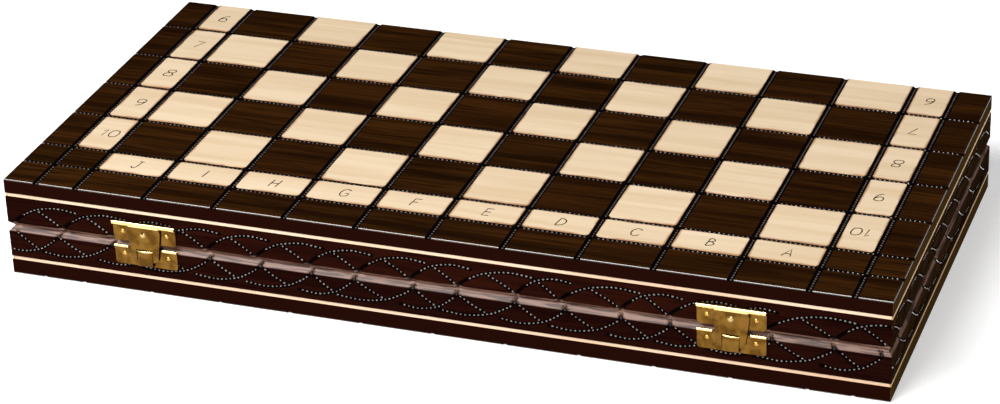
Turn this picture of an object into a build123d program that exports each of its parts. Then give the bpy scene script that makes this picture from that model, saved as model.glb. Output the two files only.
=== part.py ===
"""A folding wooden box for a hundred-square board game, closed, as two equal trays.

The box stands on the board half of its lower tray. X runs along the front, Y from the
front to the hinged back, Z up. The origin is at floor level in the middle of the whole
object, catches and hinge knuckles included. All sizes are in millimetres.
"""
import os
from math import cos, radians, sin

from build123d import *

os.makedirs("parts", exist_ok=True)

# Board grid, milled into the outside of both trays
columns = 10
square = 40.0
number_column = 23.2
side_border = 19.2
front_border = 23.7
letter_row = 22.0
whole_rows = 4
hinge_row = 35.4
groove_width = 3.4
groove_depth = 1.0

# Trays
half_height = 28.7
panel_thickness = 8.3
panel_edge_radius = 0.8
wall_thickness = 10.0
rim_chamfer = 2.85
strip_height = 2.4
strip_recess = 1.0
rebate_depth = 3.2

# Sheet brass of the catches
catch_inset = 81.5
plate_width = 36.0
sheet = 0.8
barrel_radius = 1.25
barrel_gap = 0.1
barrel_height = 12.8
upper_plate_foot = 1.95
plate_corner = 2.2
knuckle_end_gap = 0.25
hasp_knuckle = 17.6
hasp_shoulder_width = 19.2
hasp_shoulder_drop = 4.0
hasp_foot_width = 14.8
hasp_length = 21.3
hasp_foot_radius = 1.1
bump_radius = 2.5
bump_height = 0.9
bump_drop = 5.1
lower_plate_top = 0.5
lower_plate_foot = 12.1
lip_radius = 0.85
lip_half_gap = 10.0
nose_width = 8.6
nose_proud = 3.6
nose_top = 1.8
nose_bend = 1.6
fork_clearance = 0.35
slot_headroom = 0.6
hasp_pin_radius = 0.6
nail_span = 12.7
upper_nail_height = 7.5
lower_nail_drop = 5.8
nail_head_radius = 1.15
nail_head_height = 0.55
nail_shank_radius = 0.6
nail_length = 6.5
nail_point = 1.0

# Butt hinges
hinge_inset = 81.5
hinge_length = 33.0
pivot_offset = 0.2
hinge_knuckle_radius = 2.0
hinge_knuckles = 5
leaf_thickness = 0.8
leaf_width = 9.0
leaf_set_in = 0.05
leaf_notch_clearance = 0.25
hinge_pin_radius = 0.9
screw_count = 3
screw_pitch = 11.0
screw_from_pivot = 6.2
screw_head_radius = 1.65
screw_shank_radius = 0.9
screw_length = 9.0
screw_slot = 0.4

# Fits
running_clearance = 0.05
seat_clearance = 0.02

# Men
man_diameter = 30.0
man_height = 8.5
man_edge_radius = 1.6
man_dish_depth = 1.0
man_rim = 3.2
man_ring = 6.0
man_ring_width = 2.2
men_columns = 4
men_rows = 5
men_pitch_x = 41.0
men_pitch_y = 42.0
men_group_inset = 24.0
men_scatter = 3.0

# Worked-out sizes
board_length = columns * square + 2 * (number_column + side_border)
board_depth = front_border + letter_row + whole_rows * square + hinge_row
knuckle_proud = pivot_offset + hinge_knuckle_radius
total_depth = board_depth + nose_proud + knuckle_proud
front_y = nose_proud - total_depth / 2
back_y = front_y + board_depth
middle_y = (front_y + back_y) / 2
side_x = board_length / 2
parting = Plane.XY.offset(half_height)
groove_radius = (groove_width ** 2 / 4 + groove_depth ** 2) / (2 * groove_depth)
catch_x = side_x - catch_inset
hinge_x = side_x - hinge_inset
pivot_y = back_y + pivot_offset
barrel_y = front_y - barrel_gap - barrel_radius
barrel_z = half_height + barrel_height
knuckle_length = hinge_length / hinge_knuckles


def save(builder, name):
    """Label a finished piece and write it out under its own name."""
    builder.part.label = name
    export_step(builder.part, f"parts/{name}.step")


def save_both_halves(builder, name):
    """Write a lower piece, and its mirror image across the parting plane as the upper one."""
    save(builder, f"lower_{name}")
    with BuildPart() as upper:
        mirror(builder.part, about=parting)
    save(upper, f"upper_{name}")


def bar_along_x(centre, half_length, y, z, radius, mode=Mode.ADD):
    """Add or cut a round bar that lies along X."""
    with BuildSketch(Plane.YZ.offset(centre)) as end:
        with Locations((y, z)):
            Circle(radius)
    extrude(end.sketch, amount=half_length, both=True, mode=mode)


# Board panels: a slab with a round-bottomed groove along every line of the grid
column_lines = [square * (i - columns / 2) for i in range(columns + 1)]
column_lines = [column_lines[0] - number_column] + column_lines + [column_lines[-1] + number_column]
first_row_line = front_y + front_border + letter_row
row_lines = [front_y + front_border] + [first_row_line + square * i for i in range(whole_rows + 1)]
groove_centre = groove_depth - groove_radius

with BuildPart() as panel:
    with BuildSketch(Plane.XY):
        with Locations((0, middle_y)):
            Rectangle(board_length, board_depth)
    extrude(amount=panel_thickness)
    fillet(panel.faces().sort_by(Axis.Z)[0].edges(), panel_edge_radius)
    with BuildSketch(Plane.XZ):
        with Locations(*[(x, groove_centre) for x in column_lines]):
            Circle(groove_radius)
    extrude(amount=total_depth, both=True, mode=Mode.SUBTRACT)
    with BuildSketch(Plane.YZ):
        with Locations(*[(y, groove_centre) for y in row_lines]):
            Circle(groove_radius)
    extrude(amount=board_length, both=True, mode=Mode.SUBTRACT)
save_both_halves(panel, "panel")


# Walls and light strips: mitred runs of one section along each side of a tray
sides = {
    "front": (Vector(0, front_y, 0), Vector(1, 0, 0), board_length),
    "right": (Vector(side_x, middle_y, 0), Vector(0, 1, 0), board_depth),
    "back": (Vector(0, back_y, 0), Vector(-1, 0, 0), board_length),
    "left": (Vector(-side_x, middle_y, 0), Vector(0, -1, 0), board_depth),
}
wall_section = [
    (0, panel_thickness + strip_height),
    (0, half_height - rim_chamfer),
    (rim_chamfer, half_height),
    (wall_thickness, half_height),
    (wall_thickness, panel_thickness),
    (rebate_depth, panel_thickness),
    (rebate_depth, panel_thickness + strip_height),
]
strip_section = [
    (strip_recess, panel_thickness),
    (strip_recess, panel_thickness + strip_height),
    (rebate_depth, panel_thickness + strip_height),
    (rebate_depth, panel_thickness),
]


def mitred_run(side, section, mitre_gap=0.0):
    """Run a section, given as inward and upward distances, along a side with mitred ends."""
    middle, along, length = sides[side]
    inward = Vector(0, 0, 1).cross(along)
    with BuildSketch(Plane(origin=middle, x_dir=inward, z_dir=along)) as cut:
        Polygon(*section, align=None)
    run = extrude(cut.sketch, amount=length / 2, both=True, mode=Mode.PRIVATE)
    reach = length / 2 - mitre_gap
    with BuildSketch(Plane(origin=middle, x_dir=along, z_dir=(0, 0, 1))) as plan:
        Polygon(
            (-reach, 0),
            (reach, 0),
            (reach - wall_thickness, wall_thickness),
            (wall_thickness - reach, wall_thickness),
            align=None,
        )
    mitres = extrude(plan.sketch, amount=half_height, mode=Mode.PRIVATE)
    add(run & mitres)


for side in ("right", "left"):
    with BuildPart() as wall:
        mitred_run(side, wall_section)
    save_both_halves(wall, f"{side}_wall")

with BuildPart() as strips:
    for side in sides:
        mitred_run(side, strip_section, seat_clearance)
save_both_halves(strips, "light_strips")

# Front walls, drilled for the catch nails
nail_spots = [x + dx for x in (-catch_x, catch_x) for dx in (-nail_span, nail_span)]
upper_nail_z = half_height + upper_nail_height
lower_nail_z = half_height - lower_nail_drop


def drill_nail_holes(z):
    """Bore the nail holes of both catches into a front wall at one height."""
    with BuildSketch(Plane.XZ.offset(-front_y)) as holes:
        with Locations(*[(x, z) for x in nail_spots]):
            Circle(nail_shank_radius + seat_clearance)
    extrude(holes.sketch, amount=-nail_length - seat_clearance, mode=Mode.SUBTRACT)


with BuildPart() as lower_front_wall:
    mitred_run("front", wall_section)
    drill_nail_holes(lower_nail_z)
save(lower_front_wall, "lower_front_wall")

with BuildPart() as upper_front_wall:
    with BuildPart(mode=Mode.PRIVATE) as plain_front_wall:
        mitred_run("front", wall_section)
    mirror(plain_front_wall.part, about=parting)
    drill_nail_holes(upper_nail_z)
save(upper_front_wall, "upper_front_wall")

# Back walls, with a mortise for each hinge leaf and pilot holes for its screws
leaf_bottom = half_height - leaf_set_in - leaf_thickness
screw_spots = [
    (x + screw_pitch * (i - (screw_count - 1) / 2), pivot_y - screw_from_pivot)
    for x in (-hinge_x, hinge_x)
    for i in range(screw_count)
]

with BuildPart() as back_wall:
    mitred_run("back", wall_section)
    with BuildSketch(Plane.XY.offset(leaf_bottom)):
        with Locations((-hinge_x, pivot_y), (hinge_x, pivot_y)):
            Rectangle(hinge_length + 2 * running_clearance, 2 * (leaf_width + running_clearance))
    extrude(until=Until.LAST, mode=Mode.SUBTRACT)
    with BuildSketch(Plane.XY.offset(leaf_bottom)):
        with Locations(*screw_spots):
            Circle(screw_shank_radius + seat_clearance)
    extrude(amount=-screw_length - seat_clearance, mode=Mode.SUBTRACT)
save_both_halves(back_wall, "back_wall")


# Butt hinges: the lower leaf has the outer and middle knuckles, the upper leaf those between
def knuckle_middles(centre, first):
    """Middles along X of every second knuckle, counted from the first given one."""
    start = centre - hinge_length / 2 + knuckle_length / 2
    return [start + knuckle_length * i for i in range(first, hinge_knuckles, 2)]


def hinge_leaf(centre, first, bore_clearance):
    """Make a leaf for the lower tray inside the open part, with every second knuckle."""
    own = knuckle_middles(centre, first)
    other = knuckle_middles(centre, 1 - first)
    notch_reach = 2 * (hinge_knuckle_radius + leaf_notch_clearance)
    with BuildSketch(Plane.XY.offset(leaf_bottom)) as blank:
        with Locations((centre, pivot_y - leaf_width / 2)):
            Rectangle(hinge_length, leaf_width)
        with Locations(*[(x, pivot_y) for x in other]):
            Rectangle(knuckle_length, notch_reach, mode=Mode.SUBTRACT)
    extrude(blank.sketch, amount=leaf_thickness)
    for x in own:
        bar_along_x(x, knuckle_length / 2 - running_clearance, pivot_y, half_height, hinge_knuckle_radius)
    bore = hinge_pin_radius + bore_clearance
    bar_along_x(centre, hinge_length, pivot_y, half_height, bore, Mode.SUBTRACT)
    spots = [spot for spot in screw_spots if abs(spot[0] - centre) < hinge_length / 2]
    with Locations(*[(x, y, leaf_bottom + leaf_thickness) for x, y in spots]):
        CounterSinkHole(
            radius=screw_shank_radius + running_clearance,
            counter_sink_radius=screw_head_radius + running_clearance,
            depth=leaf_thickness,
            counter_sink_angle=90,
        )


for name, centre in (("left", -hinge_x), ("right", hinge_x)):
    with BuildPart() as lower_leaf:
        hinge_leaf(centre, 0, seat_clearance)
    save(lower_leaf, f"{name}_hinge_lower_leaf")
    with BuildPart() as upper_leaf:
        with BuildPart(mode=Mode.PRIVATE) as unturned_leaf:
            hinge_leaf(centre, 1, running_clearance)
        mirror(unturned_leaf.part, about=parting)
    save(upper_leaf, f"{name}_hinge_upper_leaf")
    with BuildPart() as hinge_pin:
        bar_along_x(centre, hinge_length / 2, pivot_y, half_height, hinge_pin_radius)
    save(hinge_pin, f"{name}_hinge_pin")

# Countersunk screws of the lower leaves, mirrored for the upper ones
with BuildPart() as hinge_screws:
    for x, y in screw_spots:
        with BuildSketch(Plane(origin=(x, y, leaf_bottom), x_dir=(1, 0, 0), z_dir=(0, -1, 0))):
            with BuildLine():
                Polyline(
                    (0, leaf_thickness),
                    (screw_head_radius, leaf_thickness),
                    (screw_shank_radius, leaf_thickness + screw_shank_radius - screw_head_radius),
                    (screw_shank_radius, screw_shank_radius - screw_length),
                    (0, -screw_length),
                    close=True,
                )
            make_face()
        revolve(axis=Axis((x, y, 0), (0, 0, 1)))
    with BuildSketch(Plane.XY.offset(leaf_bottom + leaf_thickness)):
        with Locations(*screw_spots):
            Rectangle(2 * screw_head_radius, screw_slot, rotation=30)
    extrude(amount=-screw_slot, mode=Mode.SUBTRACT)
save_both_halves(hinge_screws, "hinge_screws")


# Catches: an upper plate with rolled edge, a hasp hung between its knuckles, a lower plate
def punch_nail_holes(centre, z):
    """Cut the two nail holes of a plate."""
    with BuildSketch(Plane.XZ.offset(-front_y)) as holes:
        with Locations((centre - nail_span, z), (centre + nail_span, z)):
            Circle(nail_shank_radius + running_clearance)
    extrude(holes.sketch, amount=sheet, mode=Mode.SUBTRACT)


end_knuckle = (plate_width - hasp_knuckle) / 2 - knuckle_end_gap
end_knuckle_middle = (plate_width - end_knuckle) / 2
tongue_y = barrel_y - barrel_radius
slot_width = nose_width + 2 * fork_clearance
slot_top = half_height - nose_top + slot_headroom
hasp_foot_z = barrel_z - hasp_length
nose_foot_z = half_height - lower_plate_foot

for name, centre in (("left", -catch_x), ("right", catch_x)):
    with BuildPart() as upper_plate:
        plate_foot_z = half_height + upper_plate_foot
        with BuildSketch(Plane.XZ.offset(-front_y)) as upper_outline:
            with Locations((centre, plate_foot_z)):
                Rectangle(plate_width, barrel_z - plate_foot_z, align=(Align.CENTER, Align.MIN))
            fillet(upper_outline.vertices().group_by(Axis.Y)[0], plate_corner)
            with Locations((centre, barrel_z)):
                notch = 2 * (barrel_radius + knuckle_end_gap)
                Rectangle(hasp_knuckle + 2 * knuckle_end_gap, notch, mode=Mode.SUBTRACT)
        extrude(amount=sheet)
        for x in (centre - end_knuckle_middle, centre + end_knuckle_middle):
            bar_along_x(x, end_knuckle / 2, barrel_y, barrel_z, barrel_radius)
        bore = hasp_pin_radius + seat_clearance
        bar_along_x(centre, plate_width, barrel_y, barrel_z, bore, Mode.SUBTRACT)
        punch_nail_holes(centre, upper_nail_z)
    save(upper_plate, f"{name}_catch_upper_plate")

    with BuildPart() as hasp:
        bar_along_x(centre, hasp_knuckle / 2, barrel_y, barrel_z, barrel_radius)
        with BuildSketch(Plane.XZ.offset(-tongue_y)) as tongue_outline:
            with Locations((centre, 0)):
                Polygon(
                    (-hasp_knuckle / 2, barrel_z),
                    (hasp_knuckle / 2, barrel_z),
                    (hasp_shoulder_width / 2, barrel_z - hasp_shoulder_drop),
                    (hasp_foot_width / 2, hasp_foot_z),
                    (-hasp_foot_width / 2, hasp_foot_z),
                    (-hasp_shoulder_width / 2, barrel_z - hasp_shoulder_drop),
                    align=None,
                )
            with Locations((centre, slot_top)):
                Rectangle(slot_width, hasp_length, align=(Align.CENTER, Align.MAX), mode=Mode.SUBTRACT)
            fillet(tongue_outline.vertices().group_by(Axis.Y)[0], hasp_foot_radius)
        extrude(amount=-sheet)
        bump_sphere = (bump_radius ** 2 + bump_height ** 2) / (2 * bump_height)
        with BuildPart(mode=Mode.PRIVATE) as bump:
            with Locations((centre, tongue_y - bump_height + bump_sphere, barrel_z - bump_drop)):
                Sphere(bump_sphere)
            split(bisect_by=Plane.XZ.offset(-tongue_y), keep=Keep.TOP)
        add(bump.part)
        bore = hasp_pin_radius + running_clearance
        bar_along_x(centre, plate_width, barrel_y, barrel_z, bore, Mode.SUBTRACT)
    save(hasp, f"{name}_hasp")

    with BuildPart() as hasp_pin:
        bar_along_x(centre, plate_width / 2, barrel_y, barrel_z, hasp_pin_radius)
    save(hasp_pin, f"{name}_hasp_pin")

    with BuildPart() as lower_plate:
        plate_top_z = half_height - lower_plate_top - lip_radius
        with BuildSketch(Plane.XZ.offset(-front_y)) as lower_outline:
            with Locations((centre, nose_foot_z)):
                Rectangle(plate_width, plate_top_z - nose_foot_z, align=(Align.CENTER, Align.MIN))
            fillet(lower_outline.vertices().group_by(Axis.Y)[0], plate_corner / 2)
        extrude(amount=sheet)
        lip_length = plate_width / 2 - lip_half_gap
        for x in (centre - plate_width / 2 + lip_length / 2, centre + plate_width / 2 - lip_length / 2):
            bar_along_x(x, lip_length / 2, front_y - lip_radius, plate_top_z, lip_radius)
        nose_height = half_height - nose_top - nose_foot_z
        with BuildSketch(Plane.YZ.offset(centre)) as nose_outside:
            with Locations((front_y - nose_proud, nose_foot_z)):
                Rectangle(nose_proud, nose_height, align=(Align.MIN, Align.MIN))
            fillet(nose_outside.vertices().group_by(Axis.Y)[0].sort_by(Axis.X)[0], nose_bend)
        extrude(amount=nose_width / 2, both=True)
        with BuildSketch(Plane.YZ.offset(centre)) as nose_inside:
            with Locations((front_y - nose_proud + sheet, nose_foot_z + sheet)):
                Rectangle(nose_proud - 2 * sheet, nose_height, align=(Align.MIN, Align.MIN))
            fillet(nose_inside.vertices().group_by(Axis.Y)[0].sort_by(Axis.X)[0], nose_bend - sheet)
        extrude(amount=nose_width, both=True, mode=Mode.SUBTRACT)
        punch_nail_holes(centre, lower_nail_z)
    save(lower_plate, f"{name}_catch_lower_plate")

# Dome-headed nails of both plates
for name, z in (("upper", upper_nail_z), ("lower", lower_nail_z)):
    with BuildPart() as nails:
        for x in nail_spots:
            with BuildSketch(Plane(origin=(x, front_y - sheet, z), x_dir=(1, 0, 0), z_dir=(0, 0, 1))):
                with BuildLine():
                    TangentArc((0, -nail_head_height), (nail_head_radius, 0), tangent=(1, 0))
                    Polyline(
                        (nail_head_radius, 0),
                        (nail_shank_radius, 0),
                        (nail_shank_radius, sheet + nail_length - nail_point),
                        (0, sheet + nail_length),
                        (0, -nail_head_height),
                    )
                make_face()
            revolve(axis=Axis((x, 0, z), (0, 1, 0)))
    save(nails, f"{name}_catch_nails")

# Men: turned discs with a dished face and a raised ring on both sides, loose in the lower tray
man_radius = man_diameter / 2


def turned_man(x, y):
    """Turn one man that lies flat on the tray's floor."""
    with BuildSketch(Plane(origin=(x, y, panel_thickness), x_dir=(1, 0, 0), z_dir=(0, -1, 0))) as outline:
        with Locations((0, 0)):
            Rectangle(man_radius, man_height, align=(Align.MIN, Align.MIN))
        fillet(outline.vertices().sort_by(Axis.X)[-2:], man_edge_radius)
        for floor in (0, man_height - man_dish_depth):
            with Locations((0, floor)):
                Rectangle(man_ring, man_dish_depth, align=(Align.MIN, Align.MIN), mode=Mode.SUBTRACT)
            with Locations((man_ring + man_ring_width, floor)):
                groove = man_radius - man_rim - man_ring - man_ring_width
                Rectangle(groove, man_dish_depth, align=(Align.MIN, Align.MIN), mode=Mode.SUBTRACT)
    revolve(outline.sketch, axis=Axis((x, y, 0), (0, 0, 1)))


inner_x = side_x - wall_thickness
for name, hand in (("light", -1), ("dark", 1)):
    with BuildPart() as men:
        for i in range(men_columns):
            for j in range(men_rows):
                turn = radians(137.5 * (i * men_rows + j))
                x = hand * (inner_x - men_group_inset - men_pitch_x * i + men_scatter * cos(turn))
                y = middle_y + men_pitch_y * (j - (men_rows - 1) / 2) + men_scatter * sin(turn)
                turned_man(x, y)
    save(men, f"{name}_men")
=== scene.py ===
"""Finish for a folding hundred-square board game box: stained and carved wood, light squares
with scorched edges, drawn coordinates, light strips, brass catches and hinges, turned men.

Lengths are in metres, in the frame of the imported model. MM turns a size in millimetres into them.
"""
import math
import random

import bmesh
import bpy
from mathutils import Matrix, Vector, kdtree


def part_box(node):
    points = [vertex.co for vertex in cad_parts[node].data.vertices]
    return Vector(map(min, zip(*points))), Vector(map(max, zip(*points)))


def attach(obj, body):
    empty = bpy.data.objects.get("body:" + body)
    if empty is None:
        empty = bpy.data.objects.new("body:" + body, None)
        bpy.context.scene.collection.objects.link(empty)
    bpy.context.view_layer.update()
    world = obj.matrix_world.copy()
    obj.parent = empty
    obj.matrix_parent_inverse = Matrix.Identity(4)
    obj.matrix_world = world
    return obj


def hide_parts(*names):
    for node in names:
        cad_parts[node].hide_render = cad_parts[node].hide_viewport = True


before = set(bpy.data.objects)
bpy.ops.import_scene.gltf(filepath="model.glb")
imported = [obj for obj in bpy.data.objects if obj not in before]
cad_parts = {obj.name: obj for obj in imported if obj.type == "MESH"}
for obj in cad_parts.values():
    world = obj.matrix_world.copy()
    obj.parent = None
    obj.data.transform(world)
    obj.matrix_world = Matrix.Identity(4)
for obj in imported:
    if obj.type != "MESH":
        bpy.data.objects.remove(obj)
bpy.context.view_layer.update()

MM = 0.001

# The closed box, read from the frame
panel_low, panel_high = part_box("upper_panel")
wall_low, wall_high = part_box("lower_front_wall")
strip_low, strip_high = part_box("upper_light_strips")
FRONT_Y = panel_low[1]
BACK_Y = panel_high[1]
SIDE_X = panel_high[0]
TOP_Z = panel_high[2]
PARTING_Z = wall_high[2]
PANEL = panel_high[2] - panel_low[2]
WALL = wall_high[1] - wall_low[1]
STRIP = strip_high[2] - strip_low[2]
MIDDLE_Y = (FRONT_Y + BACK_Y) / 2

# The camera, as in the photograph
CAMERA_AZIMUTH = math.radians(20.2)
CAMERA_ELEVATION = math.radians(27.59)
CAMERA_ROLL = math.radians(-2.05)
CAMERA_LENS = 112.7
SENSOR_WIDTH = 36
NEAR_CORNER_TO_CAMERA = (0.7644, -1.31, 0.7556)

# The studio
FLOOR_REACH = 6
SURROUND_STRENGTH = 0.12

# The board grid
SQUARE = 40 * MM
HALF_FIELD = 5 * SQUARE
NUMBER_COLUMN = 23.2 * MM
LETTER_ROW = 22 * MM
FRONT_BORDER = 23.7 * MM
WHOLE_ROWS = 4
FIRST_ROW_Y = FRONT_Y + FRONT_BORDER + LETTER_ROW
GROOVE_WIDTH = 3.4 * MM
GROOVE_DEPTH = 1.0 * MM
CROSSING_CLEARANCE = 1.6 * MM

# The walls' section
RIM_CHAMFER = 2.85 * MM
REBATE = 3.2 * MM
END_RECESS = 0.25 * MM
STRIP_DEPTH = 2.0 * MM

# Carving on the walls. The waves leave the rim at these places along the wall, in millimetres,
# cut by hand and so uneven.
UPPER_WAVES = [3, 32, 61, 88, 116, 144, 174, 202, 231, 257, 289, 312, 345, 370, 398, 420, 456, 483]
LOWER_WAVES = [4, 29, 61, 88, 118, 147, 176, 200, 233, 257, 289, 316, 346, 372, 399, 425, 457, 481]
END_WAVES = [-8, 19, 47, 74, 104, 131, 160, 187, 216, 243]
CARVED_WIDTH = 1.25 * MM
CARVED_DEPTH = 0.9 * MM
LINE_STEP = 0.35 * MM
LINE_SAMPLES = 24
WALL_MESH_STEP = 0.55 * MM
CHAMFER_STEPS = 6

# Dots of the toothed wheel, as half sizes along the row, into the wood and across the row
WALL_DOT_PITCH = 2.4 * MM
GROOVE_DOT_PITCH = 2.5 * MM
WALL_DOT = (0.7 * MM, 0.55 * MM, 0.6 * MM)
DOT_SIZES = (0.78, 1.12)
WALL_DOT_DEPTH = 0.95 * CARVED_DEPTH
WALL_DOT_MARGIN = 1.5 * MM

# Catches, bent from sheet brass
SHEET = 0.8 * MM
BARREL_RADIUS = 1.25 * MM
ROD_SEGMENTS = 24
HASP_KNUCKLE = 17.6 * MM
HASP_SHOULDER = 19.2 * MM
HASP_SHOULDER_DROP = 4.0 * MM
HASP_FOOT = 14.8 * MM
HASP_FOOT_RADIUS = 1.4 * MM
HASP_BOW = 0.25 * MM
HASP_EDGE_WIDTH = 1.1 * MM
HASP_EDGE_TURN = 0.55 * MM
FORK_SLOT = 9.3 * MM
FORK_CLEARANCE = 0.6 * MM
BUMP_RADIUS = 1.9 * MM
BUMP_HEIGHT = 0.72 * MM
BUMP_DROP = 5.1 * MM
LIP_RADIUS = 0.85 * MM
LIP_HALF_GAP = 10 * MM
PLATE_CORNER = 1.6 * MM
CORNER_SEGMENTS = 6
NOSE_WIDTH = 8.6 * MM
NOSE_TOP_Z = PARTING_Z - 1.8 * MM
NOSE_BEND = 1.6 * MM
NOSE_BOW = 1.0 * MM
NOSE_SHEET = 0.9 * SHEET
NOSE_EDGE_RADIUS = 0.5 * MM
NOSE_EDGE_SUNK = 0.55 * MM
NOSE_COLUMNS = 12

# Drawn coordinates
LETTER_HEIGHT = 7.6 * MM
LETTER_PACE = 0.78 * LETTER_HEIGHT
LETTER_SLANT = 0.1
STROKE_RADIUS = 0.62 * MM
STROKE_SINK = 0.46 * MM
INK_FILM = 0.03 * MM

# Edges that turn by more than this stay sharp
CREASE = math.radians(38)

hand = random.Random(11)


# Camera and studio
def aim_camera():
    """Place the camera as in the photograph: about 1.6 m off, to the right and above."""
    level = math.cos(CAMERA_ELEVATION)
    forward = Vector((
        -math.sin(CAMERA_AZIMUTH) * level,
        math.cos(CAMERA_AZIMUTH) * level,
        -math.sin(CAMERA_ELEVATION),
    ))
    right = forward.cross(Vector((0, 0, 1))).normalized()
    up = right.cross(forward)
    camera_right = math.cos(CAMERA_ROLL) * right + math.sin(CAMERA_ROLL) * up
    camera_up = math.cos(CAMERA_ROLL) * up - math.sin(CAMERA_ROLL) * right
    turn = Matrix((camera_right, camera_up, -forward)).transposed()
    data = bpy.data.cameras.new("camera")
    data.sensor_width = SENSOR_WIDTH
    data.lens = CAMERA_LENS
    camera = bpy.data.objects.new("camera", data)
    place = Vector((-SIDE_X, FRONT_Y, TOP_Z)) + Vector(NEAR_CORNER_TO_CAMERA)
    camera.matrix_world = Matrix.Translation(place) @ turn.to_4x4()
    bpy.context.collection.objects.link(camera)
    bpy.context.scene.camera = camera


def area_light(name, place, width, height, power):
    """Hang a soft light that faces the box."""
    data = bpy.data.lights.new(name, "AREA")
    data.shape = "RECTANGLE"
    data.size = width
    data.size_y = height
    data.energy = power
    light = bpy.data.objects.new(name, data)
    light.location = place
    light.rotation_euler = (-Vector(place)).to_track_quat("-Z", "Y").to_euler()
    bpy.context.collection.objects.link(light)


def build_studio():
    """A pale floor, a large soft light high in front, two weaker ones and a dim surround."""
    mesh = bmesh.new()
    bmesh.ops.create_grid(mesh, x_segments=1, y_segments=1, size=FLOOR_REACH)
    data = bpy.data.meshes.new("floor")
    mesh.to_mesh(data)
    mesh.free()
    floor = bpy.data.objects.new("floor", data)
    bpy.context.collection.objects.link(floor)
    data.materials.append(floor_paint())
    area_light("key_light", (-0.55, -1.15, 1.35), 1.3, 0.7, power=49)
    area_light("front_light", (0.3, -2.0, 0.75), 0.9, 0.5, power=14)
    area_light("right_light", (1.7, 0.5, 1.0), 0.8, 0.8, power=12)
    world = bpy.data.worlds.new("surround")
    world.use_nodes = True
    background = world.node_tree.nodes["Background"]
    background.inputs["Color"].default_value = (1, 1, 1, 1)
    background.inputs["Strength"].default_value = SURROUND_STRENGTH
    bpy.context.scene.world = world
    bpy.context.scene.view_settings.view_transform = "Standard"


# Materials
class Recipe:
    """A node material, with one short call for each node that it adds."""

    def __init__(self, name, **finish):
        self.material = bpy.data.materials.new(name)
        self.material.use_nodes = True
        self.tree = self.material.node_tree
        self.shader = self.tree.nodes["Principled BSDF"]
        for key, value in finish.items():
            socket = key.replace("_", " ").title().replace("Ior", "IOR")
            self.shader.inputs[socket].default_value = value
        coordinates = self.tree.nodes.new("ShaderNodeTexCoord")
        self.place = coordinates.outputs["Object"]

    def put(self, socket, source):
        """Link an output, or set a plain value, on an input socket."""
        if isinstance(source, bpy.types.NodeSocket):
            self.tree.links.new(source, socket)
        elif source is not None:
            socket.default_value = source

    def math(self, operation, a, b=None):
        """One sum on numbers or outputs."""
        node = self.tree.nodes.new("ShaderNodeMath")
        node.operation = operation
        for socket, source in zip(node.inputs, (a, b)):
            self.put(socket, source)
        return node.outputs[0]

    def plus(self, total, *others):
        """Add numbers or outputs."""
        for other in others:
            total = self.math("ADD", total, other)
        return total

    def minus(self, a, b):
        """Take one number or output from another."""
        return self.math("SUBTRACT", a, b)

    def times(self, total, *others):
        """Multiply numbers or outputs."""
        for other in others:
            total = self.math("MULTIPLY", total, other)
        return total

    def choose(self, share, a, b):
        """The first value where the share is one, the second where it is nought."""
        return self.plus(self.times(share, a), self.times(self.minus(1.0, share), b))

    def stretch(self, scale):
        """Object coordinates, scaled along each axis."""
        node = self.tree.nodes.new("ShaderNodeMapping")
        self.put(node.inputs["Vector"], self.place)
        node.inputs["Scale"].default_value = scale
        return node.outputs[0]

    def noise(self, vector, scale, detail=4.0, roughness=0.55, distortion=0.0):
        """Soft noise between 0 and 1."""
        node = self.tree.nodes.new("ShaderNodeTexNoise")
        self.put(node.inputs["Vector"], vector)
        node.inputs["Scale"].default_value = scale
        node.inputs["Detail"].default_value = detail
        node.inputs["Roughness"].default_value = roughness
        node.inputs["Distortion"].default_value = distortion
        return node.outputs["Fac"]

    def ramp(self, value, low, high, to_low=0.0, to_high=1.0):
        """Ease a value's range into another, kept between its ends."""
        node = self.tree.nodes.new("ShaderNodeMapRange")
        node.interpolation_type = "SMOOTHSTEP"
        for name, source in (("Value", value), ("From Min", low), ("From Max", high),
                             ("To Min", to_low), ("To Max", to_high)):
            self.put(node.inputs[name], source)
        return node.outputs[0]

    def mix(self, factor, a, b):
        """Blend two colours."""
        node = self.tree.nodes.new("ShaderNodeMix")
        node.data_type = "RGBA"
        self.put(node.inputs["Factor"], factor)
        for name, source in (("A", a), ("B", b)):
            socket = next(s for s in node.inputs if s.name == name and s.type == "RGBA")
            self.put(socket, source)
        return next(s for s in node.outputs if s.type == "RGBA")

    def bump(self, height, strength, distance):
        """Surface relief from a height."""
        node = self.tree.nodes.new("ShaderNodeBump")
        node.inputs["Strength"].default_value = strength
        node.inputs["Distance"].default_value = distance
        self.put(node.inputs["Height"], height)
        self.tree.links.new(node.outputs["Normal"], self.shader.inputs["Normal"])

    def split(self):
        """X, Y and Z of the object coordinates."""
        node = self.tree.nodes.new("ShaderNodeSeparateXYZ")
        self.put(node.inputs[0], self.place)
        return node.outputs

    def attribute(self, name):
        """A number kept on the piece's own mesh."""
        node = self.tree.nodes.new("ShaderNodeAttribute")
        node.attribute_name = name
        return node.outputs["Fac"]

    def paint(self, colour):
        """Use a colour output as the base colour."""
        self.put(self.shader.inputs["Base Color"], colour)


def tone(red, green, blue):
    """A colour from 0 to 255 as it looks on a screen, turned into linear light."""
    def linear(value):
        value = value / 255
        return value / 12.92 if value <= 0.04045 else ((value + 0.055) / 1.055) ** 2.4
    return (linear(red), linear(green), linear(blue), 1)


def floor_paint():
    """Matt pale studio floor."""
    recipe = Recipe("pale_floor", roughness=0.9, specular_ior_level=0.0, emission_strength=0.3)
    recipe.shader.inputs["Emission Color"].default_value = (1, 1, 1, 1)
    speckle = recipe.noise(recipe.place, 40)
    recipe.paint(recipe.mix(speckle, tone(238, 238, 238), tone(244, 244, 244)))
    return recipe.material


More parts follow.
